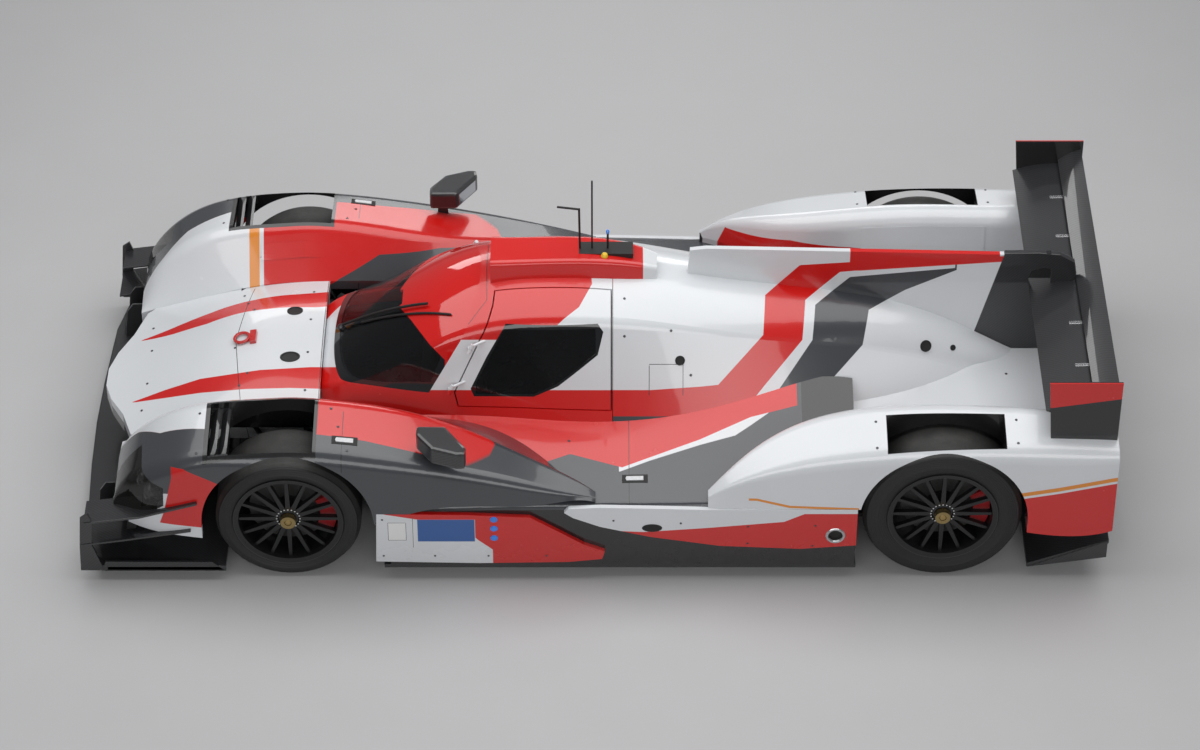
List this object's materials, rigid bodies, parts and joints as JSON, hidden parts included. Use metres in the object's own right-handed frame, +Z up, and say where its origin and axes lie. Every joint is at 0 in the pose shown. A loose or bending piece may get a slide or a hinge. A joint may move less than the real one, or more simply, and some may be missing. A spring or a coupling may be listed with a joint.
{
  "type": "closed sports prototype race car",
  "caption": "Closed-cockpit sports prototype with open-sided tail wing, fin, splitter, hinged doors and steered front wheels.",
  "frame": {"origin": "On the ground, under the middle of the overall length and width.", "axes": "+X is forwards (nose), +Y is the driver's left, +Z is up."},
  "size_m": [4.65, 2.088, 1.5],
  "materials": {
    "carbon": "satin",
    "cast_alloy": "satin",
    "grey_paint": "gloss",
    "grip": "matt",
    "lamp_glass": "clear",
    "plank": "matt",
    "red_glass": "gloss",
    "red_paint": "gloss",
    "steel": "satin",
    "tinted_glass": "clear",
    "tyre": "matt",
    "wheel_black": "satin",
    "white_paint": "gloss"
  },
  "bodies": {
    "car": {"aerials": "carbon", "cockpit_cell": "grey_paint", "dashboard": "carbon", "engine": "cast_alloy", "engine_cover": "white_paint", "fender_louvres": "carbon", "flank_panels": "red_paint", "floor": "carbon", "front_fender_left": "red_paint", "front_fender_right": "red_paint", "front_splitter": "carbon", "front_suspension": "steel", "gearbox": "cast_alloy", "headlamps": "lamp_glass", "mirrors": "carbon", "nose": "white_paint", "rear_diffuser": "carbon", "rear_fender_left": "white_paint", "rear_fender_right": "white_paint", "rear_suspension": "steel", "rear_uprights": "cast_alloy", "rear_wing": "carbon", "roof_scoop": "red_paint", "seat": "carbon", "sidepods": "grey_paint", "skid_block": "plank", "steering_wheel": "grip", "tail_lamps": "red_glass", "windscreen": "tinted_glass", "wing_endplates": "carbon", "wing_pylon": "carbon"},
    "knuckle_left": {"front_knuckle_left": "cast_alloy"},
    "knuckle_right": {"front_knuckle_right": "cast_alloy"},
    "front_wheel_left": {"front_tyre_left": "tyre", "front_rim_left": "wheel_black"},
    "front_wheel_right": {"front_tyre_right": "tyre", "front_rim_right": "wheel_black"},
    "rear_wheel_left": {"rear_tyre_left": "tyre", "rear_rim_left": "wheel_black"},
    "rear_wheel_right": {"rear_tyre_right": "tyre", "rear_rim_right": "wheel_black"},
    "door_left": {"door_left": "red_paint", "door_window_left": "tinted_glass"},
    "door_right": {"door_right": "red_paint", "door_window_right": "tinted_glass"}
  },
  "joints": [
    {"name": "steer_left", "type": "hinge", "parent": "car", "child": "knuckle_left", "pos_m": [1.352, 0.76, 0.325], "axis": [0, 0, 1], "range_deg": [-15, 15]},
    {"name": "steer_right", "type": "hinge", "parent": "car", "child": "knuckle_right", "pos_m": [1.352, -0.76, 0.325], "axis": [0, 0, 1], "range_deg": [-15, 15]},
    {"name": "front_wheel_left_spin", "type": "hinge", "parent": "knuckle_left", "child": "front_wheel_left", "pos_m": [1.352, 0.85, 0.325], "axis": [0, 1, 0], "continuous": true},
    {"name": "front_wheel_right_spin", "type": "hinge", "parent": "knuckle_right", "child": "front_wheel_right", "pos_m": [1.352, -0.85, 0.325], "axis": [0, 1, 0], "continuous": true},
    {"name": "rear_wheel_left_spin", "type": "hinge", "parent": "car", "child": "rear_wheel_left", "pos_m": [-1.568, 0.85, 0.355], "axis": [0, 1, 0], "continuous": true},
    {"name": "rear_wheel_right_spin", "type": "hinge", "parent": "car", "child": "rear_wheel_right", "pos_m": [-1.568, -0.85, 0.355], "axis": [0, 1, 0], "continuous": true},
    {"name": "door_left_hinge", "type": "hinge", "parent": "car", "child": "door_left", "pos_m": [0.648, 0.452, 0.628], "axis": [0.4177, 0.2611, -0.8703], "range_deg": [0, 65]},
    {"name": "door_right_hinge", "type": "hinge", "parent": "car", "child": "door_right", "pos_m": [0.648, -0.452, 0.628], "axis": [-0.4177, 0.2611, 0.8703], "range_deg": [0, 65]}
  ],
  "couplings": [
    {"joint": "steer_right", "follows": "steer_left", "ratio": 1}
  ]
}
